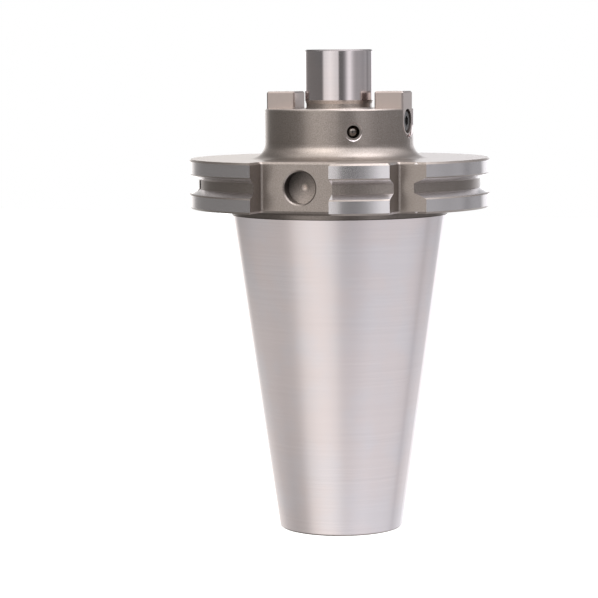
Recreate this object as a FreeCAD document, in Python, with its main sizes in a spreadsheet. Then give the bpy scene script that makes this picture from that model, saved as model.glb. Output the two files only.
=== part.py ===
import FreeCAD, Part

import math
import os
from types import SimpleNamespace

import Sketcher
from FreeCAD import Placement, Rotation, Vector

# Shell mill arbor with a steep 7/24 taper, size 50, and a 22 mm spigot.
# It stands on its small end, +Z up, and the origin is the middle of that end face.
# The front drive slot looks along -Y and the two drive keys lie on the X axis.
# Lengths are millimetres, angles are degrees, and azimuths run from -Y towards +X.

SIZES = {
    # Taper, from the small end up to the gauge line
    "taper_length": 101.75,
    "gauge_diameter": 69.85,
    "taper_rise": 7,
    "taper_run": 24,
    "small_end_edge": 0.5,
    # Neck between the gauge line and the flange
    "neck_height": 3.2,
    "neck_relief_height": 2.3,
    "neck_relief_depth": 0.2,
    "neck_corner": 0.8,
    # Flange
    "flange_diameter": 97.5,
    "flange_thickness": 15.9,
    "flange_edge": 0.65,
    # Gripper groove round the rim
    "groove_above_gauge": 11.1,
    "groove_angle": 60,
    "groove_depth": 3.125,
    "groove_floor_width": 2.9,
    "groove_edge": 0.45,
    # Drive slots across the rim
    "slot_width": 25.7,
    "slot_corner_radius": 0.8,
    "front_slot_floor": 37.7,
    "rear_slot_floor": 35.5,
    # Index notch in the rim
    "notch_azimuth": 45,
    "notch_angle": 90,
    "notch_depth": 6.75,
    "notch_root_radius": 0.8,
    # Data chip hole in the front slot
    "chip_hole_diameter": 10.2,
    "chip_hole_depth": 4.3,
    "chip_hole_edge": 0.5,
    "chip_hole_floor_rise": 0.8,
    "chip_dimple_diameter": 2.2,
    "chip_dimple_depth": 0.6,
    # Hub and contact face
    "hub_diameter": 48,
    "hub_height": 15.9,
    "hub_fillet": 5,
    "hub_edge": 0.35,
    # Spigot that centres the cutter
    "spigot_diameter": 22,
    "spigot_length": 19,
    "spigot_edge": 0.5,
    "spigot_relief_height": 2.8,
    "spigot_relief_depth": 0.4,
    "spigot_relief_run_out": 1.2,
    "spigot_root_edge": 0.4,
    # Bore from the small end
    "pilot_diameter": 25,
    "pilot_depth": 11.5,
    "pilot_edge": 1,
    "stud_thread_diameter": 24,
    "stud_thread_end": 47,
    "stud_drill_diameter": 21,
    "stud_drill_end": 61.5,
    "drill_point_angle": 118,
    "coolant_bore_diameter": 8,
    # Thread for the cutter screw, from the top of the spigot
    "cutter_thread_diameter": 10,
    "cutter_thread_depth": 24,
    "cutter_thread_edge": 0.6,
    "cutter_drill_diameter": 8.5,
    "cutter_drill_depth": 29,
    # Drive keys and their slots
    "key_width": 10,
    "key_height": 5.6,
    "key_centre_depth": 4,
    "key_outer_end": 23.3,
    "key_length": 9.7,
    "key_edge": 0.5,
    "key_side_gap": 0.02,
    "key_round_gap": 0.18,
    "key_slot_edge": 0.35,
    # Screw that holds each key
    "key_screw_diameter": 4,
    "key_screw_length": 10,
    "key_screw_head_diameter": 7,
    "key_screw_head_height": 4,
    "key_screw_hex": 3,
    "key_screw_hex_depth": 2.2,
    "key_screw_head_edge": 0.45,
    "key_screw_tip_edge": 0.5,
    "key_screw_recess": 0.4,
    "key_counterbore_gap": 0.4,
    "key_hole_gap": 0.25,
    "key_thread_spare": 1.5,
    # Coolant drillings in the hub, each with an outlet in the contact face
    "hub_drilling_azimuth": 30,
    "hub_drilling_depth": 6.95,
    "hub_drilling_diameter": 3.5,
    "outlet_diameter": 3,
    "outlet_radius": 15.5,
    # Expander plug that closes each hub drilling
    "plug_diameter": 5,
    "plug_length": 5,
    "plug_wall": 0.65,
    "plug_mouth_wall": 0.45,
    "plug_floor": 0.8,
    "plug_recess": 0.3,
    "plug_seat_edge": 0.5,
    "plug_ball_recess": 0.25,
    # Coolant channels in the flange: a radial drilling met by an axial port
    "channel_azimuth": 120,
    "channel_drill_diameter": 3.3,
    "port_inset": 6.75,
    "port_edge": 0.3,
    # Set screws that close the channels and the ports
    "set_screw_diameter": 4,
    "set_screw_recess": 0.3,
    "set_screw_edge": 0.4,
    "set_screw_hex": 2,
    "channel_screw_length": 3,
    "channel_screw_hex_depth": 1.2,
    "port_screw_length": 4,
    "port_screw_hex_depth": 1.6,
    "set_screw_thread_spare": 1.2,
}


class Dimension:
    # A length or an angle, with the formula that gives it

    def __init__(self, value, text):
        self.value = value
        self.text = text

    def joined(self, sign, other, value):
        return Dimension(value, f"({self.text} {sign} {text_of(other)})")

    def __add__(self, other):
        return self.joined("+", other, self.value + value_of(other))

    def __sub__(self, other):
        return self.joined("-", other, self.value - value_of(other))

    def __mul__(self, other):
        return self.joined("*", other, self.value * value_of(other))

    def __truediv__(self, other):
        return self.joined("/", other, self.value / value_of(other))

    def __neg__(self):
        return Dimension(-self.value, f"(0 - {self.text})")


def value_of(item):
    return item.value if isinstance(item, Dimension) else item


def text_of(item):
    return item.text if isinstance(item, Dimension) else str(item)


def root_of(item):
    return Dimension(math.sqrt(item.value), f"sqrt({item.text})")


def tangent_of(item):
    return Dimension(math.tan(math.radians(item.value)), f"tan({item.text})")


size = SimpleNamespace(**{name: Dimension(value, f"Sizes.{name}") for name, value in SIZES.items()})

# Heights of the faces, from the small end
gauge_line = size.taper_length
flange_floor = gauge_line + size.neck_height
groove_centre = gauge_line + size.groove_above_gauge
flange_top = flange_floor + size.flange_thickness
contact_face = flange_top + size.hub_height
spigot_top = contact_face + size.spigot_length
key_centre = contact_face - size.key_centre_depth
hub_drilling_height = contact_face - size.hub_drilling_depth

# Radii that several features share
gauge_radius = size.gauge_diameter / 2
flange_radius = size.flange_diameter / 2
groove_floor_radius = flange_radius - size.groove_depth
hub_radius = size.hub_diameter / 2
spigot_radius = size.spigot_diameter / 2
cone_slope = size.taper_rise / size.taper_run / 2

# Places that mating pieces share, measured outwards from the axis
key_inner_end = size.key_outer_end - size.key_length
key_counterbore_depth = size.key_screw_head_height + size.key_screw_recess
key_screw_seat = size.key_outer_end - key_counterbore_depth
key_screw_tip = key_screw_seat - size.key_screw_length
plug_outer_end = hub_radius - size.plug_recess
plug_inner_end = plug_outer_end - size.plug_length
plug_ball_diameter = size.plug_diameter - size.plug_wall * 2
plug_ball_centre = plug_outer_end - size.plug_ball_recess - plug_ball_diameter / 2
port_radius = flange_radius - size.port_inset
port_screw_base = flange_floor + size.set_screw_recess
channel_screw_end = groove_floor_radius - size.set_screw_recess
channel_screw_tip = channel_screw_end - size.channel_screw_length

# How far a cutting profile runs past the metal that it cuts, and how near is the same place
OVERRUN = 4
CLOSE = 0.001
HALF_TURN = 180
QUARTER_TURN = 90
HALF_SIXTH_TURN = 30


def cone_radius(height):
    # Radius of the taper, or of its cone carried on, at a height
    return gauge_radius - (gauge_line - height) * cone_slope


def fill_sheet(document):
    sheet = document.addObject("Spreadsheet::Sheet", "Sizes")
    for row, (name, value) in enumerate(SIZES.items(), start=1):
        sheet.set(f"A{row}", name)
        sheet.set(f"B{row}", str(value))
        sheet.setAlias(f"B{row}", name)
    document.recompute()


def new_body(name):
    body = document.addObject("PartDesign::Body", name)
    body.Label = name
    return body


def new_sketch(body, name, role, offset=(0, 0, 0), turn=None):
    # A sketch on an origin plane, moved by offset in the plane's own axes and turned about its upright
    plane = next(item for item in body.Origin.OriginFeatures if item.Role == role)
    sketch = body.newObject("Sketcher::SketchObject", name)
    sketch.AttachmentSupport = [(plane, "")]
    sketch.MapMode = "FlatFace"
    turned = Rotation(Vector(0, 1, 0), value_of(turn)) if turn is not None else Rotation()
    sketch.AttachmentOffset = Placement(Vector(*[value_of(item) for item in offset]), turned)
    for axis, item in zip("xyz", offset):
        if isinstance(item, Dimension):
            sketch.setExpression(f"AttachmentOffset.Base.{axis}", item.text)
    if isinstance(turn, Dimension):
        sketch.setExpression("AttachmentOffset.Rotation.Angle", turn.text)
    return sketch


def constrain(sketch, kind, *items):
    # A dimensional constraint whose last item may be a Dimension
    number = sketch.addConstraint(Sketcher.Constraint(kind, *items[:-1], float(value_of(items[-1]))))
    if isinstance(items[-1], Dimension):
        sketch.setExpression(f"Constraints[{number}]", items[-1].text)


def fix_point(sketch, geometry, end, x, y):
    # Ties one end of a line or arc to the sketch's axes
    if value_of(x) == 0:
        sketch.addConstraint(Sketcher.Constraint("PointOnObject", geometry, end, -2))
    else:
        constrain(sketch, "DistanceX", -1, 1, geometry, end, x)
    if value_of(y) == 0:
        sketch.addConstraint(Sketcher.Constraint("PointOnObject", geometry, end, -1))
    else:
        constrain(sketch, "DistanceY", -1, 1, geometry, end, y)


def arc_between(start, end, radius, turns_left):
    # The minor arc between two points, given anticlockwise
    if not turns_left:
        start, end = end, start
    chord = end - start
    height = math.sqrt(max(radius**2 - chord.Length**2 / 4, 0))
    left = Vector(-chord.y, chord.x, 0).normalize()
    centre = (start + end) * 0.5 + left * height
    first = math.atan2(start.y - centre.y, start.x - centre.x)
    last = math.atan2(end.y - centre.y, end.x - centre.x)
    return Part.ArcOfCircle(Part.Circle(centre, Vector(0, 0, 1), radius), first, last)


def draw_outline(sketch, corners, arcs=None):
    # A closed outline through corners. arcs gives the radius after a corner, negative where it turns right
    arcs = arcs or {}
    points = [Vector(value_of(x), value_of(y), 0) for x, y in corners]
    ends = []
    for index, start in enumerate(points):
        end = points[(index + 1) % len(points)]
        if index in arcs:
            radius = value_of(arcs[index])
            arc = arc_between(start, end, abs(radius), radius > 0)
            geometry = sketch.addGeometry(arc)
            ends.append((geometry, 1, 2) if radius > 0 else (geometry, 2, 1))
        else:
            geometry = sketch.addGeometry(Part.LineSegment(start, end))
            ends.append((geometry, 1, 2))
    for index, (geometry, first, last) in enumerate(ends):
        following = ends[(index + 1) % len(ends)]
        joint = Sketcher.Constraint("Coincident", geometry, last, following[0], following[1])
        sketch.addConstraint(joint)
        fix_point(sketch, geometry, first, *corners[index])
        if index in arcs:
            radius = arcs[index] if value_of(arcs[index]) > 0 else -arcs[index]
            constrain(sketch, "Radius", geometry, radius)


def draw_circle(sketch, radius):
    circle = sketch.addGeometry(Part.Circle(Vector(), Vector(0, 0, 1), value_of(radius)))
    sketch.addConstraint(Sketcher.Constraint("Coincident", circle, 3, -1, 1))
    constrain(sketch, "Radius", circle, radius)


def draw_hexagon(sketch, across_flats):
    # A socket's hexagon about the sketch's origin, with a flat to each side
    half = across_flats / 2
    rise = half * tangent_of(Dimension(HALF_SIXTH_TURN, str(HALF_SIXTH_TURN)))
    corner = rise * 2
    nought = Dimension(0, "0")
    draw_outline(
        sketch,
        [(half, -rise), (half, rise), (nought, corner), (-half, rise), (-half, -rise), (nought, -corner)],
    )


def turned(body, name, corners, arcs=None, cut=False, offset=(0, 0, 0), turn=None, axis="V_Axis"):
    # A profile in the upright plane, spun about one of the sketch's axes to add or remove metal
    sketch = new_sketch(body, name + "Profile", "XZ_Plane", offset, turn)
    draw_outline(sketch, corners, arcs)
    kind = "PartDesign::Groove" if cut else "PartDesign::Revolution"
    feature = body.newObject(kind, name)
    feature.Profile = sketch
    feature.ReferenceAxis = (sketch, [axis])
    feature.Angle = 360
    return settled(body, feature, cut)


def drilled(body, name, stations, height, turn):
    # A stepped radial hole. stations are pairs of distance from the axis and hole radius, inwards
    nought = Dimension(0, "0")
    corners = [(stations[0][0], nought), *stations]
    if stations[-1][1].value > 0:
        corners.append((stations[-1][0], nought))
    return turned(body, name, corners, cut=True, offset=(0, height, 0), turn=turn, axis="H_Axis")


def pocketed(body, name, sketch, depth=None, reverse=False):
    feature = body.newObject("PartDesign::Pocket", name)
    feature.Profile = sketch
    feature.Reversed = reverse
    if depth is None:
        feature.Type = "ThroughAll"
    else:
        feature.Type = "Length"
        feature.Length = value_of(depth)
        feature.setExpression("Length", depth.text)
    return settled(body, feature, True)


def padded(body, name, sketch, length):
    feature = body.newObject("PartDesign::Pad", name)
    feature.Profile = sketch
    feature.Length = value_of(length)
    feature.setExpression("Length", length.text)
    return settled(body, feature, False)


def chamfered(body, name, edge_size, wanted):
    # Chamfers every edge of the last feature that wanted accepts
    base = body.Tip
    names = [f"Edge{number}" for number, edge in enumerate(base.Shape.Edges, start=1) if wanted(edge)]
    feature = body.newObject("PartDesign::Chamfer", name)
    feature.Base = (base, names)
    feature.Size = value_of(edge_size)
    feature.setExpression("Size", edge_size.text)
    return settled(body, feature, True)


def twinned(body, name, originals):
    # Repeats features on the opposite side of the axis
    upright = next(item for item in body.Origin.OriginFeatures if item.Role == "Z_Axis")
    pattern = body.newObject("PartDesign::PolarPattern", name)
    pattern.Originals = originals
    pattern.Axis = (upright, [""])
    pattern.Angle = 360
    pattern.Occurrences = 2
    body.Tip = pattern
    return settled(body, pattern, True)


def settled(body, feature, removes):
    # Recomputes, and checks that the feature changed the body the way it should
    before = volumes.get(body.Name, 0.0)
    document.recompute()
    after = feature.Shape.Volume
    changed = before - after if removes else after - before
    if changed <= 0:
        raise RuntimeError(f"{feature.Name} changes nothing")
    volumes[body.Name] = after
    return feature


def lies_at(edge, height):
    # True for an edge that lies wholly in the level plane at a height
    box = edge.BoundBox
    return abs(box.ZMin - height.value) < CLOSE and abs(box.ZMax - height.value) < CLOSE


def make_flange(body):
    disc = new_sketch(body, "FlangeCircle", "XY_Plane", (0, 0, flange_floor))
    draw_circle(disc, flange_radius)
    padded(body, "FlangeDisc", disc, size.flange_thickness)
    cut_drive_slot(body, "FrontSlot", size.front_slot_floor, -1)
    cut_drive_slot(body, "RearSlot", size.rear_slot_floor, 1)
    cut_index_notch(body)
    chamfered(
        body,
        "FlangeEdges",
        size.flange_edge,
        lambda edge: lies_at(edge, flange_floor) or lies_at(edge, flange_top),
    )


def cut_drive_slot(body, name, floor, side):
    # side is -1 for the front slot and 1 for the rear one
    half = size.slot_width / 2
    corner = size.slot_corner_radius
    mouth = flange_radius + OVERRUN

    def outward(distance):
        return distance if side > 0 else -distance

    sketch = new_sketch(body, name + "Outline", "XY_Plane", (0, 0, flange_floor))
    corners = [
        (corner - half, outward(floor)),
        (half - corner, outward(floor)),
        (half, outward(floor + corner)),
        (half, outward(mouth)),
        (-half, outward(mouth)),
        (-half, outward(floor + corner)),
    ]
    bend = corner if side > 0 else -corner
    draw_outline(sketch, corners, {1: bend, 5: bend})
    pocketed(body, name, sketch, reverse=True)


def cut_index_notch(body):
    # A vee that opens outwards, drawn on the X axis and turned to its azimuth
    half_angle = size.notch_angle / 2
    slope = tangent_of(half_angle)
    secant = root_of(slope * slope + 1)
    root = size.notch_root_radius
    depth_line = flange_radius - size.notch_depth
    round_centre = depth_line + root * secant / slope
    touch_x = round_centre - root * slope / secant
    touch_y = root / secant
    far_x = flange_radius + OVERRUN
    far_y = (far_x - depth_line) * slope
    sketch = new_sketch(body, "IndexNotchOutline", "XY_Plane", (0, 0, flange_floor))
    sketch.AttachmentOffset = Placement(
        Vector(0, 0, flange_floor.value),
        Rotation(Vector(0, 0, 1), size.notch_azimuth.value - QUARTER_TURN),
    )
    sketch.setExpression("AttachmentOffset.Rotation.Angle", (size.notch_azimuth - QUARTER_TURN).text)
    corners = [(far_x, -far_y), (far_x, far_y), (touch_x, touch_y), (touch_x, -touch_y)]
    draw_outline(sketch, corners, {2: root})
    pocketed(body, "IndexNotch", sketch, reverse=True)


def cut_gripper_groove(body):
    # A flat-bottomed vee whose mouth edges are chamfered
    half_floor = size.groove_floor_width / 2
    slope = tangent_of(size.groove_angle / 2)
    edge = flange_radius - size.groove_edge
    half_edge = half_floor + (edge - groove_floor_radius) * slope
    far = flange_radius + OVERRUN
    half_mouth = half_edge + (far - edge)
    corners = [
        (groove_floor_radius, groove_centre - half_floor),
        (edge, groove_centre - half_edge),
        (far, groove_centre - half_mouth),
        (far, groove_centre + half_mouth),
        (edge, groove_centre + half_edge),
        (groove_floor_radius, groove_centre + half_floor),
    ]
    turned(body, "GripperGroove", corners, cut=True)


def turn_shank_and_hub(body):
    # One turned profile: taper, neck, hub and spigot, which passes inside the flange
    nought = Dimension(0, "0")
    small_radius = cone_radius(nought)
    edge = size.small_end_edge
    relief_start = flange_floor - size.neck_relief_height
    relief_radius = cone_radius(relief_start) - size.neck_relief_depth
    corner_end = relief_radius + size.neck_corner
    hub_foot = hub_radius + size.hub_fillet
    spigot_relief = spigot_radius - size.spigot_relief_depth
    relief_top = contact_face + size.spigot_relief_height
    root = size.spigot_root_edge
    corners = [
        (nought, nought),
        (small_radius - edge, nought),
        (cone_radius(edge), edge),
        (cone_radius(relief_start), relief_start),
        (relief_radius, relief_start + size.neck_relief_depth),
        (relief_radius, flange_floor - size.neck_corner),
        (corner_end, flange_floor),
        (corner_end, groove_centre),
        (hub_foot, groove_centre),
        (hub_foot, flange_top),
        (hub_radius, flange_top + size.hub_fillet),
        (hub_radius, contact_face - size.hub_edge),
        (hub_radius - size.hub_edge, contact_face),
        (spigot_relief + root, contact_face),
        (spigot_relief, contact_face + root),
        (spigot_relief, relief_top - size.spigot_relief_run_out),
        (spigot_radius, relief_top),
        (spigot_radius, spigot_top - size.spigot_edge),
        (spigot_radius - size.spigot_edge, spigot_top),
        (nought, spigot_top),
    ]
    turned(body, "ShankAndHub", corners, {9: -size.hub_fillet})


def bore_the_axis(body):
    # Pull stud bore from below, cutter screw bore from above, and the coolant bore between them
    nought = Dimension(0, "0")
    pilot = size.pilot_diameter / 2
    stud = size.stud_thread_diameter / 2
    stud_drill = size.stud_drill_diameter / 2
    coolant = size.coolant_bore_diameter / 2
    cutter = size.cutter_thread_diameter / 2
    cutter_drill = size.cutter_drill_diameter / 2
    point = tangent_of(size.drill_point_angle / 2)
    thread_floor = spigot_top - size.cutter_thread_depth
    drill_floor = spigot_top - size.cutter_drill_depth
    corners = [
        (nought, nought),
        (pilot + size.pilot_edge, nought),
        (pilot, size.pilot_edge),
        (pilot, size.pilot_depth),
        (stud, size.pilot_depth),
        (stud, size.stud_thread_end),
        (stud_drill, size.stud_thread_end + (stud - stud_drill)),
        (stud_drill, size.stud_drill_end),
        (coolant, size.stud_drill_end + (stud_drill - coolant) / point),
        (coolant, drill_floor - (cutter_drill - coolant) / point),
        (cutter_drill, drill_floor),
        (cutter_drill, thread_floor - (cutter - cutter_drill)),
        (cutter, thread_floor),
        (cutter, spigot_top - size.cutter_thread_edge),
        (cutter + size.cutter_thread_edge, spigot_top),
        (nought, spigot_top),
    ]
    turned(body, "AxialBores", corners, cut=True)


def cut_key_slots(body):
    # A round-bottomed slot, open upwards and outwards, with the screw's tapped hole behind it
    half = size.key_width / 2 + size.key_side_gap
    bottom = size.key_width / 2 + size.key_round_gap
    flat_end = root_of(bottom * bottom - half * half)
    top = size.key_centre_depth + OVERRUN
    sketch = new_sketch(body, "KeySlotOutline", "YZ_Plane", (0, key_centre, key_inner_end))
    corners = [(-half, -flat_end), (half, -flat_end), (half, top), (-half, top)]
    draw_round_bottom(sketch, corners, bottom)
    slot = pocketed(body, "KeySlot", sketch, hub_radius + OVERRUN - key_inner_end, reverse=True)
    thread = size.key_screw_diameter / 2
    point = tangent_of(size.drill_point_angle / 2)
    floor = key_screw_tip - size.key_thread_spare
    hole = drilled(
        body,
        "KeyScrewThread",
        [(key_inner_end + OVERRUN, thread), (floor, thread), (floor - thread / point, Dimension(0, "0"))],
        key_centre,
        0,
    )
    twinned(body, "KeySlotPair", [slot, hole])
    chamfered(body, "KeySlotEdges", size.key_slot_edge, rounds_key_slot)


def rounds_key_slot(edge):
    # The edges where a key slot breaks out through the hub's side
    middle = edge.valueAt((edge.FirstParameter + edge.LastParameter) / 2)
    on_hub = abs(math.hypot(middle.x, middle.y) - hub_radius.value) < CLOSE
    beside_key = abs(middle.y) < size.key_width.value
    hub_start = flange_top.value + size.hub_fillet.value
    hub_end = contact_face.value - size.hub_edge.value
    return on_hub and beside_key and hub_start < middle.z < hub_end


def draw_round_bottom(sketch, corners, radius):
    # A slot or key outline whose first side is replaced by an arc about the sketch's origin
    points = [Vector(value_of(x), value_of(y), 0) for x, y in corners]
    first = math.atan2(points[0].y, points[0].x)
    last = math.atan2(points[1].y, points[1].x)
    circle = Part.Circle(Vector(), Vector(0, 0, 1), value_of(radius))
    arc = sketch.addGeometry(Part.ArcOfCircle(circle, first, last))
    sketch.addConstraint(Sketcher.Constraint("Coincident", arc, 3, -1, 1))
    constrain(sketch, "Radius", arc, radius)
    sides = [sketch.addGeometry(Part.LineSegment(points[n], points[(n + 1) % 4])) for n in (1, 2, 3)]
    chain = [
        (arc, 2, sides[0], 1),
        (sides[0], 2, sides[1], 1),
        (sides[1], 2, sides[2], 1),
        (sides[2], 2, arc, 1),
    ]
    for item in chain:
        sketch.addConstraint(Sketcher.Constraint("Coincident", *item))
    for side in (0, 2):
        sketch.addConstraint(Sketcher.Constraint("Vertical", sides[side]))
    for end, (x, y) in enumerate(corners[:2], start=1):
        if y.value == 0:
            sketch.addConstraint(Sketcher.Constraint("PointOnObject", arc, end, -1))
        else:
            constrain(sketch, "DistanceX", -1, 1, arc, end, x)
    sketch.addConstraint(Sketcher.Constraint("Horizontal", sides[1]))
    constrain(sketch, "DistanceY", -1, 1, sides[1], 1, corners[2][1])


def drill_hub_coolant(body):
    # The radial drilling with its plug seat, and the outlet that rises to the contact face
    nought = Dimension(0, "0")
    seat = size.plug_diameter / 2
    drilling = size.hub_drilling_diameter / 2
    edge = size.plug_seat_edge
    lip = hub_radius - size.plug_recess
    mouth = hub_radius + OVERRUN
    stations = [
        (mouth, seat + edge + (mouth - hub_radius)),
        (lip, seat + edge - (hub_radius - lip)),
        (lip, seat),
        (plug_inner_end, seat),
        (plug_inner_end, drilling),
        (nought, drilling),
    ]
    turn = size.hub_drilling_azimuth + QUARTER_TURN
    radial = drilled(body, "HubDrilling", stations, hub_drilling_height, turn)
    outlet = size.outlet_diameter / 2
    corners = [
        (nought, hub_drilling_height),
        (outlet, hub_drilling_height),
        (outlet, contact_face + OVERRUN),
        (nought, contact_face + OVERRUN),
    ]
    axial = upright_hole(body, "CoolantOutlet", corners, size.outlet_radius, turn)
    twinned(body, "HubCoolantPair", [radial, axial])


def upright_hole(body, name, corners, radius, turn):
    # A hole parallel to the axis, at a radius, in the plane that turn gives
    sketch = new_sketch(body, name + "Profile", "XZ_Plane", (0, 0, 0), turn)
    shifted = [(x + radius, y) for x, y in corners]
    draw_outline(sketch, shifted)
    axis_line = sketch.addGeometry(
        Part.LineSegment(
            Vector(radius.value, corners[0][1].value, 0),
            Vector(radius.value, corners[-1][1].value, 0),
        ),
        True,
    )
    sketch.addConstraint(Sketcher.Constraint("Coincident", axis_line, 1, 0, 1))
    sketch.addConstraint(Sketcher.Constraint("Coincident", axis_line, 2, len(corners) - 1, 1))
    feature = body.newObject("PartDesign::Groove", name)
    feature.Profile = sketch
    feature.ReferenceAxis = (sketch, ["Axis0"])
    feature.Angle = 360
    return settled(body, feature, True)


def drill_flange_coolant(body):
    # The radial channel from the groove floor, and the axial port in the flange's lower face
    nought = Dimension(0, "0")
    thread = size.set_screw_diameter / 2
    drill = size.channel_drill_diameter / 2
    step = thread - drill
    turn = size.channel_azimuth - QUARTER_TURN
    channel_thread_end = channel_screw_tip - size.set_screw_thread_spare
    stations = [
        (groove_floor_radius + OVERRUN, thread),
        (channel_thread_end, thread),
        (channel_thread_end - step, drill),
        (nought, drill),
    ]
    radial = drilled(body, "FlangeChannel", stations, groove_centre, turn)
    edge = size.port_edge
    port_thread_end = port_screw_base + size.port_screw_length + size.set_screw_thread_spare
    corners = [
        (nought, flange_floor),
        (thread + edge, flange_floor),
        (thread, flange_floor + edge),
        (thread, port_thread_end),
        (drill, port_thread_end + step),
        (drill, groove_centre),
        (nought, groove_centre),
    ]
    axial = upright_hole(body, "FlangePort", corners, port_radius, turn)
    twinned(body, "FlangeCoolantPair", [radial, axial])


def sink_chip_hole(body):
    nought = Dimension(0, "0")
    floor = size.front_slot_floor
    radius = size.chip_hole_diameter / 2
    edge = size.chip_hole_edge
    dimple = size.chip_dimple_diameter / 2
    bottom = floor - size.chip_hole_depth
    stations = [
        (floor + OVERRUN, radius + edge + OVERRUN),
        (floor - edge, radius),
        (bottom, radius),
        (bottom - size.chip_hole_floor_rise, dimple),
        (bottom - size.chip_hole_floor_rise - size.chip_dimple_depth, nought),
    ]
    drilled(body, "ChipHole", stations, groove_centre, -QUARTER_TURN)


def make_arbor_body():
    body = new_body("arbor_body")
    make_flange(body)
    cut_gripper_groove(body)
    turn_shank_and_hub(body)
    bore_the_axis(body)
    cut_key_slots(body)
    drill_hub_coolant(body)
    drill_flange_coolant(body)
    sink_chip_hole(body)
    return body


def make_drive_key(name, azimuth):
    # A key with a round lower end, counterbored for its screw. It is built on +X
    body = new_body(name)
    half = size.key_width / 2
    top = size.key_centre_depth + size.key_height
    sketch = new_sketch(body, "KeyOutline", "YZ_Plane", (0, key_centre, key_inner_end))
    nought = Dimension(0, "0")
    draw_round_bottom(sketch, [(-half, nought), (half, nought), (half, top), (-half, top)], half)
    padded(body, "KeyBlock", sketch, size.key_length)
    chamfered(body, "KeyEdges", size.key_edge, key_edge_is_broken)
    head = size.key_screw_head_diameter / 2 + size.key_counterbore_gap
    clearance = size.key_screw_diameter / 2 + size.key_hole_gap
    stations = [
        (size.key_outer_end + OVERRUN, head),
        (key_screw_seat, head),
        (key_screw_seat, clearance),
        (key_inner_end - OVERRUN, clearance),
    ]
    drilled(body, "KeyScrewSeat", stations, key_centre, 0)
    return placed(body, azimuth)


def key_edge_is_broken(edge):
    # The edges of both end faces above the round end, and the long edges of the top
    top = contact_face + size.key_height
    box = edge.BoundBox
    upright = box.XLength < CLOSE and box.YLength < CLOSE
    return upright or box.ZMin > top.value - CLOSE


def make_key_screw(name, azimuth):
    # A socket head cap screw, built on +X with its head outwards
    body = new_body(name)
    nought = Dimension(0, "0")
    shank = size.key_screw_diameter / 2
    head = size.key_screw_head_diameter / 2
    top = key_screw_seat + size.key_screw_head_height
    corners = [
        (key_screw_tip, nought),
        (top, nought),
        (top, head - size.key_screw_head_edge),
        (top - size.key_screw_head_edge, head),
        (key_screw_seat, head),
        (key_screw_seat, shank),
        (key_screw_tip + size.key_screw_tip_edge, shank),
        (key_screw_tip, shank - size.key_screw_tip_edge),
    ]
    turned(body, "ScrewBlank", corners, offset=(0, key_centre, 0), axis="H_Axis")
    socket = new_sketch(body, "SocketOutline", "YZ_Plane", (0, key_centre, top))
    draw_hexagon(socket, size.key_screw_hex)
    pocketed(body, "Socket", socket, size.key_screw_hex_depth)
    return placed(body, azimuth)


def make_plug_sleeve(name, azimuth):
    # An expander plug's cup, whose bore narrows from the mouth to the ball
    body = new_body(name)
    nought = Dimension(0, "0")
    outer = size.plug_diameter / 2
    corners = [
        (plug_inner_end, nought),
        (plug_inner_end, outer),
        (plug_outer_end, outer),
        (plug_outer_end, outer - size.plug_mouth_wall),
        (plug_ball_centre, outer - size.plug_wall),
        (plug_inner_end + size.plug_floor, outer - size.plug_wall),
        (plug_inner_end + size.plug_floor, nought),
    ]
    turned(body, "PlugCup", corners, offset=(0, hub_drilling_height, 0), axis="H_Axis")
    return placed(body, azimuth)


def make_port_screw(name, azimuth):
    # A short set screw, built on +X, whose socket looks down
    body = new_body(name)
    top = port_screw_base + size.port_screw_length
    sketch = new_sketch(body, "SetScrewCircle", "XY_Plane", (port_radius, 0, port_screw_base))
    draw_circle(sketch, size.set_screw_diameter / 2)
    padded(body, "SetScrewBlank", sketch, size.port_screw_length)
    chamfered(
        body,
        "SetScrewEdges",
        size.set_screw_edge,
        lambda item: lies_at(item, port_screw_base) or lies_at(item, top),
    )
    socket = new_sketch(body, "SetScrewSocketOutline", "XY_Plane", (port_radius, 0, port_screw_base))
    draw_hexagon(socket, size.set_screw_hex)
    pocketed(body, "SetScrewSocket", socket, size.port_screw_hex_depth, reverse=True)
    return placed(body, azimuth)


def make_channel_screw(name, azimuth):
    # A set screw in the groove floor, built on +X, whose socket looks outwards
    body = new_body(name)
    nought = Dimension(0, "0")
    radius = size.set_screw_diameter / 2
    edge = size.set_screw_edge
    corners = [
        (channel_screw_tip, nought),
        (channel_screw_end, nought),
        (channel_screw_end, radius - edge),
        (channel_screw_end - edge, radius),
        (channel_screw_tip + edge, radius),
        (channel_screw_tip, radius - edge),
    ]
    turned(body, "SetScrewBlank", corners, offset=(0, groove_centre, 0), axis="H_Axis")
    socket = new_sketch(body, "SetScrewSocketOutline", "YZ_Plane", (0, groove_centre, channel_screw_end))
    draw_hexagon(socket, size.set_screw_hex)
    pocketed(body, "SetScrewSocket", socket, size.channel_screw_hex_depth)
    return placed(body, azimuth)


def make_ball(name, diameter, centre, height, azimuth):
    # A steel ball on +X at a distance from the axis, swung to its azimuth
    ball = document.addObject("Part::Sphere", name)
    ball.Label = name
    ball.setExpression("Radius", (diameter / 2).text)
    turn = azimuth - QUARTER_TURN
    ball.setExpression("Placement.Base.x", f"{centre.text} * cos({turn.text})")
    ball.setExpression("Placement.Base.y", f"{centre.text} * sin({turn.text})")
    ball.setExpression("Placement.Base.z", height.text)
    return ball


def placed(body, azimuth):
    # Swings a piece that was built on +X round the axis to its azimuth
    turn = azimuth - QUARTER_TURN
    body.Placement = Placement(Vector(), Rotation(Vector(0, 0, 1), turn.value))
    body.setExpression("Placement.Rotation.Angle", turn.text)
    return body


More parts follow.
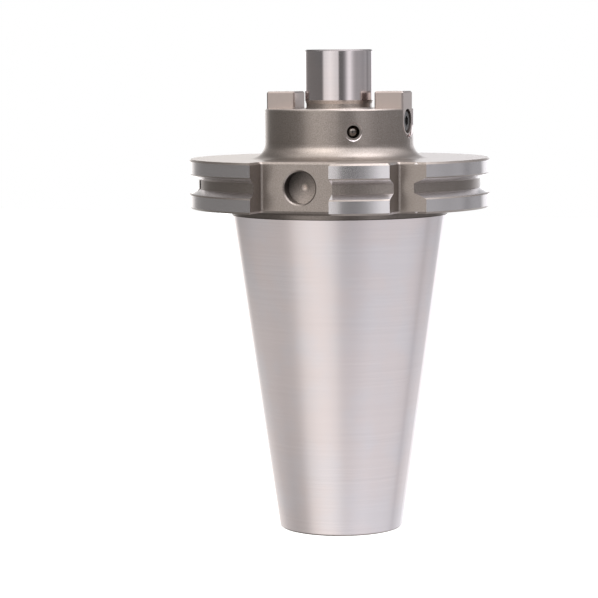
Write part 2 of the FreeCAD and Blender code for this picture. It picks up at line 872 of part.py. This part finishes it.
def check_and_export(pieces):
    document.recompute()
    for item in document.Objects:
        if "Invalid" in item.State or "Error" in item.State:
            raise RuntimeError(f"{item.Name} failed: {item.State}")
    for piece in pieces:
        if piece.Shape.isNull() or not piece.Shape.isValid() or len(piece.Shape.Solids) != 1:
            raise RuntimeError(f"{piece.Label} is not one valid solid")
    os.makedirs("parts", exist_ok=True)
    for piece in pieces:
        piece.Shape.exportStep(f"parts/{piece.Label}.step")
        print(f"{piece.Label}: {piece.Shape.Volume:.2f} mm3")


document = FreeCAD.newDocument("ShellMillArbor")
volumes = {}
fill_sheet(document)

pieces = [make_arbor_body()]
right_side = Dimension(QUARTER_TURN, str(QUARTER_TURN))
left_side = right_side + HALF_TURN
for side, azimuth in (("right", right_side), ("left", left_side)):
    pieces.append(make_drive_key(f"drive_key_{side}", azimuth))
    pieces.append(make_key_screw(f"key_screw_{side}", azimuth))

front_plug = size.hub_drilling_azimuth
rear_plug = front_plug + HALF_TURN
for side, azimuth in (("front", front_plug), ("rear", rear_plug)):
    pieces.append(make_plug_sleeve(f"hub_plug_sleeve_{side}", azimuth))
    name = f"hub_plug_ball_{side}"
    pieces.append(make_ball(name, plug_ball_diameter, plug_ball_centre, hub_drilling_height, azimuth))

right_channel = size.channel_azimuth
left_channel = right_channel + HALF_TURN
for side, azimuth in (("right", right_channel), ("left", left_channel)):
    pieces.append(make_channel_screw(f"channel_screw_{side}", azimuth))
    pieces.append(make_port_screw(f"port_screw_{side}", azimuth))

check_and_export(pieces)
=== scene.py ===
from math import cos, pi, radians, sin, sqrt

import bpy
from mathutils import Euler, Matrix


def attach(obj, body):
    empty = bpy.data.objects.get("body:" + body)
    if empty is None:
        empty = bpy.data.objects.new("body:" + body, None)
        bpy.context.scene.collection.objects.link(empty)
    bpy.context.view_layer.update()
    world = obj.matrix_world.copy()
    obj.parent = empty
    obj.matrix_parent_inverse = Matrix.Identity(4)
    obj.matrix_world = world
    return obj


# Shell mill arbor on its small end: threads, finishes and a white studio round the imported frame.
# The origin is the middle of the small end, +Z is up and the front drive slot looks along -Y.

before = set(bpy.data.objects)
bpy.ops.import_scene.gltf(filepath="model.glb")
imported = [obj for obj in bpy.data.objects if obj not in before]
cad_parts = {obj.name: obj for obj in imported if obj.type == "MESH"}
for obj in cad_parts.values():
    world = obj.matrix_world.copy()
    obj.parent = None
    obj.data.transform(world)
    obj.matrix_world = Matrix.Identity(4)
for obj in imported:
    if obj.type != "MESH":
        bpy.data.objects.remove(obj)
bpy.context.view_layer.update()

mm = 0.001

# Heights and radii that the arbor's finishes go by, in millimetres
arbor = {
    "taperEnd": 102.65,
    "flangeFloor": 104.95,
    "grooveCentre": 112.85,
    "contactFace": 136.75,
    "reliefTop": 139.55,
    "rimRadius": 48.75,
    "grooveFloorRadius": 45.625,
    "hubRadius": 24,
    "spigotRadius": 11,
}

camera = {
    "azimuth": 19.25,  # degrees from -Y towards +X
    "pitch": 5.728,  # degrees, looking down
    "roll": 0.40,
    "aimLeft": 0.971,  # degrees, so that the arbor stands a little right of the middle
    "distance": 0.761,  # metres from the arbor's axis
    "height": 0.1511,
    "lens": 140.89,  # millimetres, as the sensor
    "sensor": 36,
    "clipping": (0.05, 20),
}


def makeCamera():
    turn = radians(camera["azimuth"])
    data = bpy.data.cameras.new("studioCamera")
    data.lens = camera["lens"]
    data.sensor_width = camera["sensor"]
    data.clip_start, data.clip_end = camera["clipping"]
    eye = bpy.data.objects.new("studioCamera", data)
    eye.location = (
        sin(turn) * camera["distance"],
        -cos(turn) * camera["distance"],
        camera["height"],
    )
    eye.rotation_euler = Euler((
        radians(90 - camera["pitch"]),
        radians(camera["roll"]),
        turn + radians(camera["aimLeft"]),
    ))
    bpy.context.scene.collection.objects.link(eye)
    bpy.context.scene.camera = eye
    print("camera placed")


# Small helpers that build shader trees, for the world and for the finishes
def newTree(owner):
    owner.use_nodes = True
    tree = owner.node_tree
    tree.nodes.clear()
    return tree


def addNode(tree, kind, **settings):
    node = tree.nodes.new(kind)
    for name, value in settings.items():
        setattr(node, name, value)
    return node


def feed(tree, socket, value):
    # A link where value is another node's output, and a plain setting otherwise
    if isinstance(value, bpy.types.NodeSocket):
        tree.links.new(value, socket)
    else:
        socket.default_value = value


def calc(tree, operation, first, second):
    node = addNode(tree, "ShaderNodeMath", operation=operation)
    feed(tree, node.inputs[0], first)
    feed(tree, node.inputs[1], second)
    return node.outputs[0]


def vector(tree, operation, first, second=None):
    node = addNode(tree, "ShaderNodeVectorMath", operation=operation)
    feed(tree, node.inputs[0], first)
    if second is not None:
        feed(tree, node.inputs[1], second)
    return node.outputs["Value" if operation in ("LENGTH", "DOT_PRODUCT") else "Vector"]


def split(tree, value):
    node = addNode(tree, "ShaderNodeSeparateXYZ")
    feed(tree, node.inputs[0], value)
    return node.outputs


def mixColour(tree, share, first, second):
    node = addNode(tree, "ShaderNodeMix", data_type="RGBA")
    feed(tree, node.inputs[0], share)
    feed(tree, node.inputs[6], first)
    feed(tree, node.inputs[7], second)
    return node.outputs[2]


def mixValue(tree, share, first, second):
    node = addNode(tree, "ShaderNodeMix", data_type="FLOAT")
    feed(tree, node.inputs[0], share)
    feed(tree, node.inputs[2], first)
    feed(tree, node.inputs[3], second)
    return node.outputs[0]


def mixShader(tree, share, first, second):
    node = addNode(tree, "ShaderNodeMixShader")
    feed(tree, node.inputs[0], share)
    feed(tree, node.inputs[1], first)
    feed(tree, node.inputs[2], second)
    return node.outputs[0]


def span(tree, value, limits, results=(0.0, 1.0)):
    # Where value lies between two limits, as a share or between two results
    node = addNode(tree, "ShaderNodeMapRange", clamp=True)
    feed(tree, node.inputs[0], value)
    for socket, number in zip(node.inputs[1:5], (*limits, *results)):
        socket.default_value = number
    return node.outputs[0]


def noise(tree, place, scale, detail=2.0):
    node = addNode(tree, "ShaderNodeTexNoise")
    feed(tree, node.inputs["Vector"], place)
    node.inputs["Scale"].default_value = scale
    node.inputs["Detail"].default_value = detail
    return node.outputs["Fac"]


def ramp(tree, value, stops):
    # stops are pairs of place and grey level
    node = addNode(tree, "ShaderNodeValToRGB")
    points = node.color_ramp.elements
    while len(points) > 1:
        points.remove(points[-1])
    for index, (place, level) in enumerate(stops):
        point = points[0] if index == 0 else points.new(place)
        point.position = place
        point.color = (level, level, level, 1)
    feed(tree, node.inputs[0], value)
    return node.outputs[0]


def showSurface(tree, shader, kind="ShaderNodeOutputMaterial"):
    output = addNode(tree, kind)
    feed(tree, output.inputs[0], shader)


studio = {
    "floorSize": 3,
    "floorGap": 0.02,  # millimetres below the small end, so that the two faces don't coincide
    "floorGlow": 0.72,
    "floorColour": (0.8, 0.8, 0.8, 1),
    "levelScale": 5,  # ramps hold a fifth of the level, because a ramp stops at 1
    # Each zone's levels are pairs of degrees round from the camera, rightwards, and brightness.
    # The studio's floor
    "lowLevels": [
        (-180, 0.95), (-165, 0.45), (-150, 0.36), (-115, 0.37), (-92, 0.43), (-72, 0.63),
        (-56, 1.0), (-37, 1.15), (-21, 1.2), (-6, 1.15), (10, 1.05), (26, 1.1), (42, 1.1),
        (60, 1.02), (80, 0.98), (100, 0.92), (128, 0.8), (150, 0.95), (180, 0.95),
    ],
    # The table between the floor and the belt
    "tableLevels": [
        (-180, 1.1), (-158, 1.0), (-140, 0.92), (-122, 0.78), (-80, 0.77), (-68, 0.72),
        (-57, 0.68), (-46, 0.87), (-30, 0.96), (-17, 0.87), (-8, 0.7), (1, 0.44), (20, 0.47),
        (30, 0.53), (39, 0.63), (49, 0.77), (60, 0.87), (80, 0.93), (97, 0.9), (108, 0.8),
        (111, 0.66), (116, 0.84), (130, 0.95), (150, 1.12), (180, 1.1),
    ],
    # The belt of softboxes and dark gaps round the horizon
    "beltLevels": [
        (-180, 2.4), (-165, 2.1), (-154, 1.25), (-143, 0.34), (-130, 0.22), (-100, 0.2),
        (-59, 0.18), (-51, 0.9), (-30, 1.12), (-10, 0.88), (-3, 0.85), (1, 0.15), (12, 0.17),
        (19, 0.3), (25, 0.62), (31, 1.0), (38, 1.08), (46, 0.74), (53, 0.52), (61, 0.42),
        (75, 0.42), (90, 0.37), (104, 0.44), (113, 0.28), (121, 0.4), (130, 0.42), (136, 0.32),
        (144, 1.2), (155, 1.3), (165, 2.1), (180, 2.4),
    ],
    # Cards just above the belt, where its softboxes at the right and behind have ended
    "cardLevels": [
        (-180, 0.8), (-155, 0.5), (-140, 0.42), (-125, 0.25), (-62, 0.2), (-53, 1.0),
        (-3, 0.95), (1, 0.15), (24, 0.2), (60, 0.35), (137, 0.35), (155, 0.6), (180, 0.8),
    ],
    # The wall between the cards and the ceiling
    "wallLevels": [
        (-180, 1.2), (-168, 0.6), (-158, 0.16), (-142, 0.2), (-112, 0.45), (-84, 0.6),
        (-68, 1.6), (-50, 3.0), (-30, 3.9), (-12, 3.6), (0, 2.5), (10, 2.1), (24, 2.2),
        (66, 2.4), (82, 2.0), (98, 1.9), (115, 1.4), (130, 0.9), (145, 0.5), (156, 0.16),
        (170, 0.6), (180, 1.2),
    ],
    "ceilingLevels": [
        (-180, 1.2), (-125, 1.3), (-60, 2.3), (20, 2.6), (65, 4.2), (115, 4.4), (140, 2.2),
        (165, 1.2), (180, 1.2),
    ],
    # Sines of the elevations between which a zone takes over from the one below it
    "tableHeights": (-0.42, -0.34),
    "beltHeights": (-0.25, -0.13),
    "cardHeights": (0.11, 0.19),
    "wallHeights": (0.28, 0.46),
    "ceilingHeights": (0.72, 0.9),
    # The light's tint on either side, and the shares of the full turn between which it changes
    "leftTint": (1.013, 0.992, 0.974, 1),
    "rightTint": (0.99, 0.99, 1.022, 1),
    "tintChange": (0.44, 0.56),
}


def levelsRound(tree, turn, levels):
    scale = studio["levelScale"]
    stops = [(degrees / 360 + 0.5, level / scale) for degrees, level in levels]
    return calc(tree, "MULTIPLY", ramp(tree, turn, stops), scale)


def lightStudio():
    # Plain white to the camera, while the metal sees the zones
    scene = bpy.context.scene
    scene.view_settings.view_transform = "Standard"
    world = bpy.data.worlds.new("whiteStudio")
    scene.world = world
    tree = newTree(world)
    coordinates = addNode(tree, "ShaderNodeTexCoord").outputs["Generated"]
    facing = addNode(tree, "ShaderNodeMapping")
    facing.inputs["Rotation"].default_value[2] = radians(90 - camera["azimuth"])
    feed(tree, facing.inputs["Vector"], coordinates)
    gradient = addNode(tree, "ShaderNodeTexGradient", gradient_type="RADIAL")
    feed(tree, gradient.inputs[0], facing.outputs[0])
    turn = gradient.outputs["Fac"]
    height = split(tree, coordinates)[2]
    level = levelsRound(tree, turn, studio["lowLevels"])
    for zone in ("table", "belt", "card", "wall", "ceiling"):
        share = span(tree, height, studio[zone + "Heights"])
        level = mixValue(tree, share, level, levelsRound(tree, turn, studio[zone + "Levels"]))
    side = span(tree, turn, studio["tintChange"])
    tint = mixColour(tree, side, studio["leftTint"], studio["rightTint"])
    toCamera = addNode(tree, "ShaderNodeLightPath").outputs["Is Camera Ray"]
    background = addNode(tree, "ShaderNodeBackground")
    feed(tree, background.inputs["Color"], mixColour(tree, toCamera, tint, (1, 1, 1, 1)))
    feed(tree, background.inputs["Strength"], mixValue(tree, toCamera, level, 1.0))
    showSurface(tree, background.outputs[0], "ShaderNodeOutputWorld")
    print("world lit")


def layFloor():
    # White with the arbor's shadow from above, and clear from below
    bpy.ops.mesh.primitive_plane_add(
        size=studio["floorSize"],
        location=(0, 0, -studio["floorGap"] * mm),
    )
    floor = bpy.context.object
    floor.name = "studioFloor"
    floor.visible_glossy = False  # the metal sees the studio's own floor and table instead
    material = bpy.data.materials.new("paleFloor")
    tree = newTree(material)
    path = addNode(tree, "ShaderNodeLightPath").outputs
    shown = calc(tree, "MAXIMUM", path["Is Camera Ray"], path["Is Transmission Ray"])
    glow = addNode(tree, "ShaderNodeEmission")
    feed(tree, glow.inputs["Strength"], calc(tree, "MULTIPLY", shown, studio["floorGlow"]))
    matt = addNode(tree, "ShaderNodeBsdfDiffuse")
    matt.inputs["Color"].default_value = studio["floorColour"]
    lit = addNode(tree, "ShaderNodeAddShader")
    feed(tree, lit.inputs[0], glow.outputs[0])
    feed(tree, lit.inputs[1], matt.outputs[0])
    clear = addNode(tree, "ShaderNodeBsdfTransparent")
    fromBelow = addNode(tree, "ShaderNodeNewGeometry").outputs["Backfacing"]
    showSurface(tree, mixShader(tree, fromBelow, lit.outputs[0], clear.outputs[0]))
    floor.data.materials.append(material)
    print("floor laid")


makeCamera()
lightStudio()
layFloor()

# Internal threads, in millimetres: the wall they stand on, their pitch, how far in their crests
# reach, the stretch of bore that they fill, and the steps of one turn
threads = {
    "pullStudThread": {
        "wall": 12,
        "pitch": 3,
        "crest": 10.4,
        "start": 12,
        "end": 46.6,
        "steps": 64,
    },
    "cutterScrewThread": {
        "wall": 5,
        "pitch": 1.5,
        "crest": 4.2,
        "start": 132.1,
        "end": 155,
        "steps": 40,
    },
}
threadShape = {
    "sink": 0.05,  # how deep the ridge's foot lies in the wall
    "footShare": 7 / 8,  # the foot's share of the pitch
    "corners": 3,
    "smoothTo": 35,  # degrees between faces that are shaded as one
}


def cutThread(name, thread):
    # A ridge with 60 degree flanks and a flat crest, wound up the bore. It starts as a triangle
    # with its foot in the wall, whose tip is cut back to the crest.
    foot = thread["pitch"] * threadShape["footShare"]
    footRadius = thread["wall"] + threadShape["sink"]
    radius = foot / sqrt(3)
    tip = footRadius - radius * 1.5
    cut = (thread["crest"] - tip) / cos(pi / 6)
    place = (footRadius - radius / 2, 0, thread["start"] + foot / 2)
    bpy.ops.object.select_all(action="DESELECT")
    bpy.ops.mesh.primitive_circle_add(
        vertices=threadShape["corners"],
        radius=radius * mm,
        fill_type="NOTHING",
        location=[distance * mm for distance in place],
        rotation=(pi / 2, -pi / 2, 0),
    )
    ridge = bpy.context.object
    ridge.name = name
    bpy.ops.object.transform_apply(location=True, rotation=True, scale=True)
    crest = min(ridge.data.vertices, key=lambda vertex: vertex.co.x)
    for vertex in ridge.data.vertices:
        vertex.select = vertex == crest
    bpy.ops.object.mode_set(mode="EDIT")
    bpy.ops.mesh.bevel(affect="VERTICES", offset=cut * mm, segments=1)
    bpy.ops.object.mode_set(mode="OBJECT")
    winding = ridge.modifiers.new("winding", "SCREW")
    winding.axis = "Z"
    winding.angle = 2 * pi
    winding.screw_offset = thread["pitch"] * mm
    winding.iterations = int((thread["end"] - thread["start"] - foot) / thread["pitch"])
    winding.steps = thread["steps"]
    winding.render_steps = thread["steps"]
    winding.use_smooth_shade = False
    bpy.ops.object.modifier_apply(modifier=winding.name)
    bpy.ops.object.mode_set(mode="EDIT")
    bpy.ops.mesh.select_all(action="DESELECT")
    bpy.ops.mesh.select_non_manifold()
    bpy.ops.mesh.fill_holes(sides=0)
    bpy.ops.mesh.select_all(action="SELECT")
    bpy.ops.mesh.normals_make_consistent(inside=False)
    bpy.ops.object.mode_set(mode="OBJECT")
    bpy.ops.object.shade_smooth_by_angle(angle=radians(threadShape["smoothTo"]))
    ridge.data.materials.append(finishes["body_steel"])
    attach(ridge, "root")
    print(name, len(ridge.data.polygons), "faces")


def placeOnPiece(tree):
    # outward and upward say how far a face looks away from the arbor's axis, and up
    coordinates = addNode(tree, "ShaderNodeTexCoord").outputs["Object"]
    flat = vector(tree, "MULTIPLY", coordinates, (1, 1, 0))
    normal = addNode(tree, "ShaderNodeNewGeometry").outputs["Normal"]
    return {
        "coordinates": coordinates,
        "radius": vector(tree, "LENGTH", flat),
        "depth": split(tree, coordinates)[1],
        "height": split(tree, coordinates)[2],
        "outward": vector(tree, "DOT_PRODUCT", vector(tree, "NORMALIZE", flat), normal),
        "upward": split(tree, normal)[2],
    }


# Masks are 1 inside an area and 0 elsewhere
def above(tree, value, limit):
    return calc(tree, "GREATER_THAN", value, limit)


def below(tree, value, limit):
    return calc(tree, "LESS_THAN", value, limit)


def between(tree, value, limits):
    low, high = limits
    return calc(tree, "MULTIPLY", above(tree, value, low), below(tree, value, high))


def every(tree, *masks):
    result = masks[0]
    for mask in masks[1:]:
        result = calc(tree, "MULTIPLY", result, mask)
    return result


def either(tree, *masks):
    result = masks[0]
    for mask in masks[1:]:
        result = calc(tree, "MAXIMUM", result, mask)
    return result


def metal(tree, colour, roughness, normal, brushing=None):
    # brushing spreads a highlight across marks that run round the arbor's axis
    surface = addNode(tree, "ShaderNodeBsdfPrincipled")
    surface.inputs["Metallic"].default_value = 1
    feed(tree, surface.inputs["Base Color"], colour)
    feed(tree, surface.inputs["Roughness"], roughness)
    feed(tree, surface.inputs["Normal"], normal)
    if brushing is not None:
        surface.inputs["Anisotropic"].default_value = brushing
        surface.inputs["Anisotropic Rotation"].default_value = 0.25  # of a turn
        marks = addNode(tree, "ShaderNodeTangent", direction_type="RADIAL", axis="Z")
        feed(tree, surface.inputs["Tangent"], marks.outputs[0])
    return surface.outputs[0]


# Where the body's finishes lie
bodyAreas = {
    # Limits of outward
    "looksOut": 0.95,
    "flankOutward": (0.45, 0.55),
    "chamferOutward": (0.6, 0.8),
    "milledOutward": 0.9,
    # Millimetres that an area reaches past the radius or height that it goes by
    "margin": 0.02,
    "rimDepth": 0.3,
    "grooveFloorDepth": 0.1,
    "spigotDepth": 0.7,
    "milledDepth": 1,
    "milledHeights": (-11, -0.4),  # from the contact face
    # The chip hole, in millimetres from the arbor's axis and from the hole's own
    "holeFloor": 32,
    "holeMouth": 37.6,
    "holeRadius": 5.2,
    "dimpleRadii": (0.5, 1.3),
    # Painted shade across the chip hole's floor: where it runs from darkest to clear, and the way
    # it runs, darker towards the upper left
    "paintedShadeReach": (-4, 2.5),
    "paintedShadeDirection": (0.75, 0, -0.66),
}
bodyFinish = {
    # Blasted satin steel
    "satinColour": (0.388, 0.341, 0.312, 1),
    "satinShade": (0.26, 0.228, 0.207, 1),
    "satinRoughness": 0.28,
    "hazeRoughness": 0.62,
    "hazeShare": 0.28,
    # Painted shade and painted highlight, as factors on the colour of their area
    # Painted shade on the neck, under the flange
    "neckPaintedShade": 0.7,
    # Painted shade on the groove's floor, deep between the flanks
    "grooveFloorPaintedShade": 0.88,
    # Painted shade across the chip hole's floor, at its darkest and where it is clear
    "paintedShadeDeep": 0.25,
    "paintedShadeClear": 1.08,
    # Painted highlight on the dimple in the middle of the chip hole's floor
    "dimplePaintedHighlight": 2.1,
    # Ground steel
    "groundColour": (0.72, 0.67, 0.675, 1),
    "groundShade": (0.69, 0.642, 0.647, 1),
    "rimColour": (0.74, 0.71, 0.712, 1),
    "faceColour": (0.66, 0.6, 0.565, 1),
    "warmTint": (1.01, 0.985, 0.975, 1),
    "coolTint": (0.985, 0.995, 1.01, 1),
    # Painted shade on the groove's lower flanks, which face up into the groove
    "lowerFlankPaintedShade": 0.78,
    "chamferShade": 0.42,
    "rimHaze": 0.17,
    "brushing": 0.6,
    "groundRoughness": 0.22,
    "spigotRoughness": 0.13,
    "rimRoughness": 0.185,
    "flankRoughness": 0.24,
    "faceRoughness": 0.45,
    "chamferRoughness": 0.5,
    # Grain, in cells to a metre
    "speckleScale": 3100,
    "lineScale": 3800,
    "lineStretch": (25, 25, 0),
    "mottleScale": 70,
    "grainDetail": 3,
    "grainLimits": (0.3, 0.7),
    "mottleLimits": (0.42, 0.62),
    "satinBump": 0.25,
    "groundBump": 0.08,
    "rimBump": 0.0,
    "bumpDepth": 0.02,  # millimetres
}


def findAreas(tree, place):
    radius, height, outward = place["radius"], place["height"], place["outward"]
    margin = bodyAreas["margin"]
    face = arbor["contactFace"]
    groove = arbor["grooveFloorRadius"]
    grooveDepth = bodyAreas["grooveFloorDepth"]
    rimInside = (arbor["rimRadius"] - bodyAreas["rimDepth"]) * mm
    grooveInside = (groove - grooveDepth) * mm
    grooveOutside = (groove + grooveDepth) * mm
    spigotInside = (arbor["spigotRadius"] - bodyAreas["spigotDepth"]) * mm
    hubInside = (arbor["hubRadius"] - bodyAreas["milledDepth"]) * mm
    milledHeights = [(face + offset) * mm for offset in bodyAreas["milledHeights"]]
    neckHeights = (arbor["taperEnd"] * mm, (arbor["flangeFloor"] - margin) * mm)

    areas = {}
    looksOut = above(tree, outward, bodyAreas["looksOut"])
    areas["taper"] = every(tree, looksOut, below(tree, height, arbor["taperEnd"] * mm))
    areas["rim"] = every(tree, looksOut, above(tree, radius, rimInside))
    slanted = between(tree, outward, bodyAreas["flankOutward"])
    areas["flank"] = every(tree, slanted, above(tree, radius, grooveOutside))
    areas["spigot"] = every(
        tree,
        above(tree, height, (arbor["reliefTop"] - margin) * mm),
        above(tree, radius, spigotInside),
    )
    areas["face"] = between(tree, height, ((face - margin) * mm, (face + margin) * mm))
    areas["milled"] = every(  # edges of the key slots and of the plugs' seats
        tree,
        above(tree, radius, hubInside),
        below(tree, outward, bodyAreas["milledOutward"]),
        between(tree, height, milledHeights),
    )
    areas["ground"] = either(tree, *areas.values())
    areas["lowerFlank"] = every(tree, areas["flank"], above(tree, place["upward"], 0))
    areas["chamfer"] = every(
        tree,
        areas["spigot"],
        between(tree, outward, bodyAreas["chamferOutward"]),
    )
    areas["neck"] = between(tree, height, neckHeights)
    areas["grooveFloor"] = every(
        tree,
        looksOut,
        between(tree, radius, (grooveInside, grooveOutside)),
    )
    return areas


def chipHole(tree, place):
    # The hole's mask, and the painted light on its floor: painted shade across it, darker towards
    # its upper left, and a painted highlight on the dimple in its middle
    fromHole = vector(tree, "SUBTRACT", place["coordinates"], (0, 0, arbor["grooveCentre"] * mm))
    fromHole = vector(tree, "MULTIPLY", fromHole, (1, 0, 1))
    distance = vector(tree, "LENGTH", fromHole)
    reach = (-bodyAreas["holeMouth"] * mm, -bodyAreas["holeFloor"] * mm)
    hole = every(
        tree,
        below(tree, distance, bodyAreas["holeRadius"] * mm),
        between(tree, place["depth"], reach),
    )
    across = vector(tree, "DOT_PRODUCT", fromHole, bodyAreas["paintedShadeDirection"])
    paintedShadeReach = [offset * mm for offset in bodyAreas["paintedShadeReach"]]
    paintedShade = span(tree, across, paintedShadeReach, (bodyFinish["paintedShadeDeep"], bodyFinish["paintedShadeClear"]))
    dimpleRadii = [radius * mm for radius in bodyAreas["dimpleRadii"]]
    dimple = span(tree, distance, dimpleRadii, (1.0, 0.0))
    return hole, mixValue(tree, dimple, paintedShade, bodyFinish["dimplePaintedHighlight"])


def bodyGrain(tree, place, areas):
    # Speckle on blasted steel, and fine lines round the axis on ground steel
    coordinates = place["coordinates"]
    speckle = noise(tree, coordinates, bodyFinish["speckleScale"], bodyFinish["grainDetail"])
    rings = addNode(tree, "ShaderNodeCombineXYZ")
    sweep = calc(tree, "ADD", place["radius"], place["height"])
    feed(tree, rings.inputs[2], calc(tree, "MULTIPLY", sweep, bodyFinish["lineScale"]))
    stretched = vector(tree, "MULTIPLY", coordinates, bodyFinish["lineStretch"])
    lines = noise(tree, vector(tree, "ADD", stretched, rings.outputs[0]), 1)
    return mixValue(tree, areas["ground"], speckle, lines)


def bodyColour(tree, place, areas, hole, holePaintedLight, grain):
    shade = span(tree, grain, bodyFinish["grainLimits"])
    # Painted shade on the neck, the groove's floor and across the chip hole, and the dimple's
    # painted highlight, as a factor on the satin colour
    satinPaintedLight = mixValue(tree, areas["neck"], 1.0, bodyFinish["neckPaintedShade"])
    satinPaintedLight = mixValue(tree, areas["grooveFloor"], satinPaintedLight, bodyFinish["grooveFloorPaintedShade"])
    satinPaintedLight = mixValue(tree, hole, satinPaintedLight, holePaintedLight)
    satin = mixColour(tree, shade, bodyFinish["satinShade"], bodyFinish["satinColour"])
    satin = vector(tree, "MULTIPLY", satin, satinPaintedLight)

    patches = noise(
        tree,
        place["coordinates"],
        bodyFinish["mottleScale"],
        bodyFinish["grainDetail"],
    )
    mottle = span(tree, patches, bodyFinish["mottleLimits"])
    tint = mixColour(tree, mottle, bodyFinish["warmTint"], bodyFinish["coolTint"])
    # Painted shade on the groove's lower flanks
    flankPaintedShade = mixValue(tree, areas["lowerFlank"], 1.0, bodyFinish["lowerFlankPaintedShade"])
    bright = mixColour(tree, shade, bodyFinish["groundShade"], bodyFinish["groundColour"])
    bright = vector(tree, "MULTIPLY", bright, tint)
    rimOrFlank = either(tree, areas["rim"], areas["flank"])
    bright = mixColour(tree, rimOrFlank, bright, bodyFinish["rimColour"])
    bright = mixColour(tree, areas["face"], bright, bodyFinish["faceColour"])
    bright = vector(tree, "MULTIPLY", bright, flankPaintedShade)

    colour = mixColour(tree, areas["ground"], satin, bright)
    chamferShade = mixValue(tree, areas["chamfer"], 1.0, bodyFinish["chamferShade"])
    return vector(tree, "MULTIPLY", colour, chamferShade)


def bodyRoughness(tree, areas):
    roughness = bodyFinish["groundRoughness"]
    for area in ("spigot", "rim", "flank", "face", "chamfer"):
        roughness = mixValue(tree, areas[area], roughness, bodyFinish[area + "Roughness"])
    return roughness


def bodyBump(tree, areas, grain):
    bump = addNode(tree, "ShaderNodeBump")
    strength = mixValue(
        tree,
        areas["ground"],
        bodyFinish["satinBump"],
        bodyFinish["groundBump"],
    )
    strength = mixValue(tree, areas["rim"], strength, bodyFinish["rimBump"])
    feed(tree, bump.inputs["Strength"], strength)
    bump.inputs["Distance"].default_value = bodyFinish["bumpDepth"] * mm
    feed(tree, bump.inputs["Height"], grain)
    return bump.outputs[0]


def finishBody():
    # Blasted satin steel, and ground steel on the taper, the rim, the groove's flanks, the spigot
    # and the contact face
    material = bpy.data.materials.new("groundAndBlastedSteel")
    tree = newTree(material)
    place = placeOnPiece(tree)
    areas = findAreas(tree, place)
    hole, holePaintedLight = chipHole(tree, place)
    grain = bodyGrain(tree, place, areas)
    colour = bodyColour(tree, place, areas, hole, holePaintedLight, grain)
    normal = bodyBump(tree, areas, grain)
    blasted = mixShader(
        tree,
        mixValue(tree, hole, bodyFinish["hazeShare"], 1.0),
        metal(tree, colour, bodyFinish["satinRoughness"], normal),
        metal(tree, colour, bodyFinish["hazeRoughness"], normal),
    )
    turned = mixShader(
        tree,
        mixValue(tree, areas["rim"], areas["ground"], 1 - bodyFinish["rimHaze"]),
        blasted,
        metal(tree, colour, bodyRoughness(tree, areas), normal, bodyFinish["brushing"]),
    )
    showSurface(tree, turned)
    return material


# The small pieces' finishes
plainFinishes = {
    "key_steel": {
        "name": "groundKeySteel",
        "colour": (0.4, 0.345, 0.322, 1),
        "roughness": 0.33,
        "metallic": 1.0,
    },
    "black_screw": {
        "name": "blackScrewSteel",
        "colour": (0.022, 0.021, 0.021, 1),
        "roughness": 0.4,
        "metallic": 0.0,
    },
    "plug_steel": {
        "name": "plugSteel",
        "colour": (0.33, 0.29, 0.26, 1),
        "roughness": 0.3,
        "metallic": 1.0,
    },
    "ball_steel": {
        "name": "polishedBallSteel",
        # A colour far darker than polished steel, which paints the dark reflection on the ball
        "colour": (0.13, 0.115, 0.105, 1),
        "roughness": 0.13,
        "metallic": 1.0,
    },
}
plainGrain = {
    "scale": 1500,
    "smoothest": 0.8,  # factors on the roughness
    "roughest": 1.2,
}


def finishPlainly(finish):
    material = bpy.data.materials.new(finish["name"])
    tree = newTree(material)
    coordinates = addNode(tree, "ShaderNodeTexCoord").outputs["Object"]
    roughness = mixValue(
        tree,
        noise(tree, coordinates, plainGrain["scale"]),
        finish["roughness"] * plainGrain["smoothest"],
        finish["roughness"] * plainGrain["roughest"],
    )
    surface = addNode(tree, "ShaderNodeBsdfPrincipled")
    surface.inputs["Metallic"].default_value = finish["metallic"]
    surface.inputs["Base Color"].default_value = finish["colour"]
    feed(tree, surface.inputs["Roughness"], roughness)
    showSurface(tree, surface.outputs[0])
    return material


finishes = {slot: finishPlainly(finish) for slot, finish in plainFinishes.items()}
finishes["body_steel"] = finishBody()
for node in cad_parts.values():
    for place in node.material_slots:
        place.material = finishes[place.material.name.split(".")[0]]
print("nodes finished")

for name, thread in threads.items():
    cutThread(name, thread)

bpy.context.view_layer.update()
